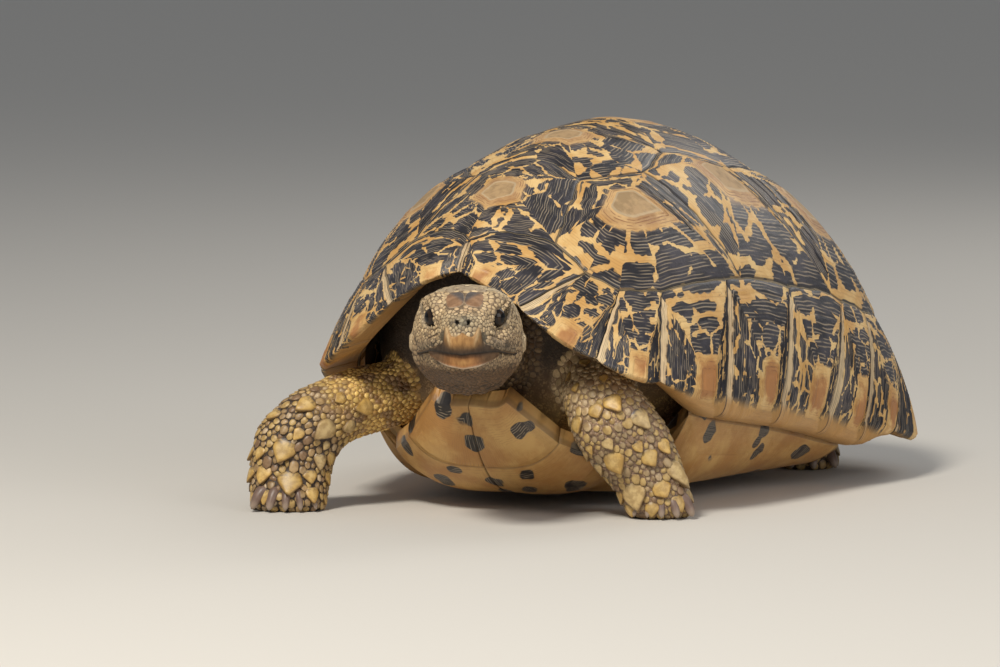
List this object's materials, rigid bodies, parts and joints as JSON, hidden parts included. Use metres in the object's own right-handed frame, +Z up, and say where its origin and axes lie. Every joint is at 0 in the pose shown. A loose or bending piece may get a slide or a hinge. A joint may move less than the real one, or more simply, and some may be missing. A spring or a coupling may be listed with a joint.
{
  "type": "leopard tortoise, still model",
  "caption": "Life-size still model of an adult leopard tortoise, walking with its head out and turned a little to its left.",
  "frame": {"origin": "on the ground under the middle of the whole animal", "axes": "+Z up; -Y forward, the way the shell faces; +X towards the animal's left side"},
  "size_m": [0.2736, 0.4418, 0.1984],
  "materials": {
    "scute": "horn of the upper shell, ochre with black blotches, growth rings, satin",
    "plastron": "horn of the lower shell, tan with dark blotches, worn, satin",
    "skin": "dry folded skin, grey brown to yellow",
    "head_skin": "granular skin of the head, grey tan",
    "limb_scale": "hard overlapping scales of the limbs, ochre and brown",
    "beak": "horny edge of the jaws, orange brown",
    "claw": "horn of the claws, grey brown",
    "eye": "wet, dark brown"
  },
  "bodies": {
    "root": {"vertebral_1": "scute", "vertebral_2": "scute", "vertebral_3": "scute", "vertebral_4": "scute", "vertebral_5": "scute", "costal_left_1": "scute", "costal_left_2": "scute", "costal_left_3": "scute", "costal_left_4": "scute", "marginal_left_1": "scute", "marginal_left_2": "scute", "marginal_left_3": "scute", "marginal_left_4": "scute", "marginal_left_5": "scute", "marginal_left_6": "scute", "marginal_left_7": "scute", "marginal_left_8": "scute", "marginal_left_9": "scute", "marginal_left_10": "scute", "marginal_left_11": "scute", "costal_right_1": "scute", "costal_right_2": "scute", "costal_right_3": "scute", "costal_right_4": "scute", "marginal_right_1": "scute", "marginal_right_2": "scute", "marginal_right_3": "scute", "marginal_right_4": "scute", "marginal_right_5": "scute", "marginal_right_6": "scute", "marginal_right_7": "scute", "marginal_right_8": "scute", "marginal_right_9": "scute", "marginal_right_10": "scute", "marginal_right_11": "scute", "supracaudal": "scute", "gular_left": "plastron", "gular_right": "plastron", "humeral_left": "plastron", "humeral_right": "plastron", "pectoral_left": "plastron", "pectoral_right": "plastron", "abdominal_left": "plastron", "abdominal_right": "plastron", "femoral_left": "plastron", "femoral_right": "plastron", "anal_left": "plastron", "anal_right": "plastron", "head": "head_skin", "jaw": "head_skin", "neck": "skin", "tail": "skin", "trunk": "skin", "leg_front_right": "skin", "leg_front_left": "skin", "leg_hind_right": "skin", "leg_hind_left": "skin", "eye_left": "eye", "eye_right": "eye"}
  },
  "joints": []
}
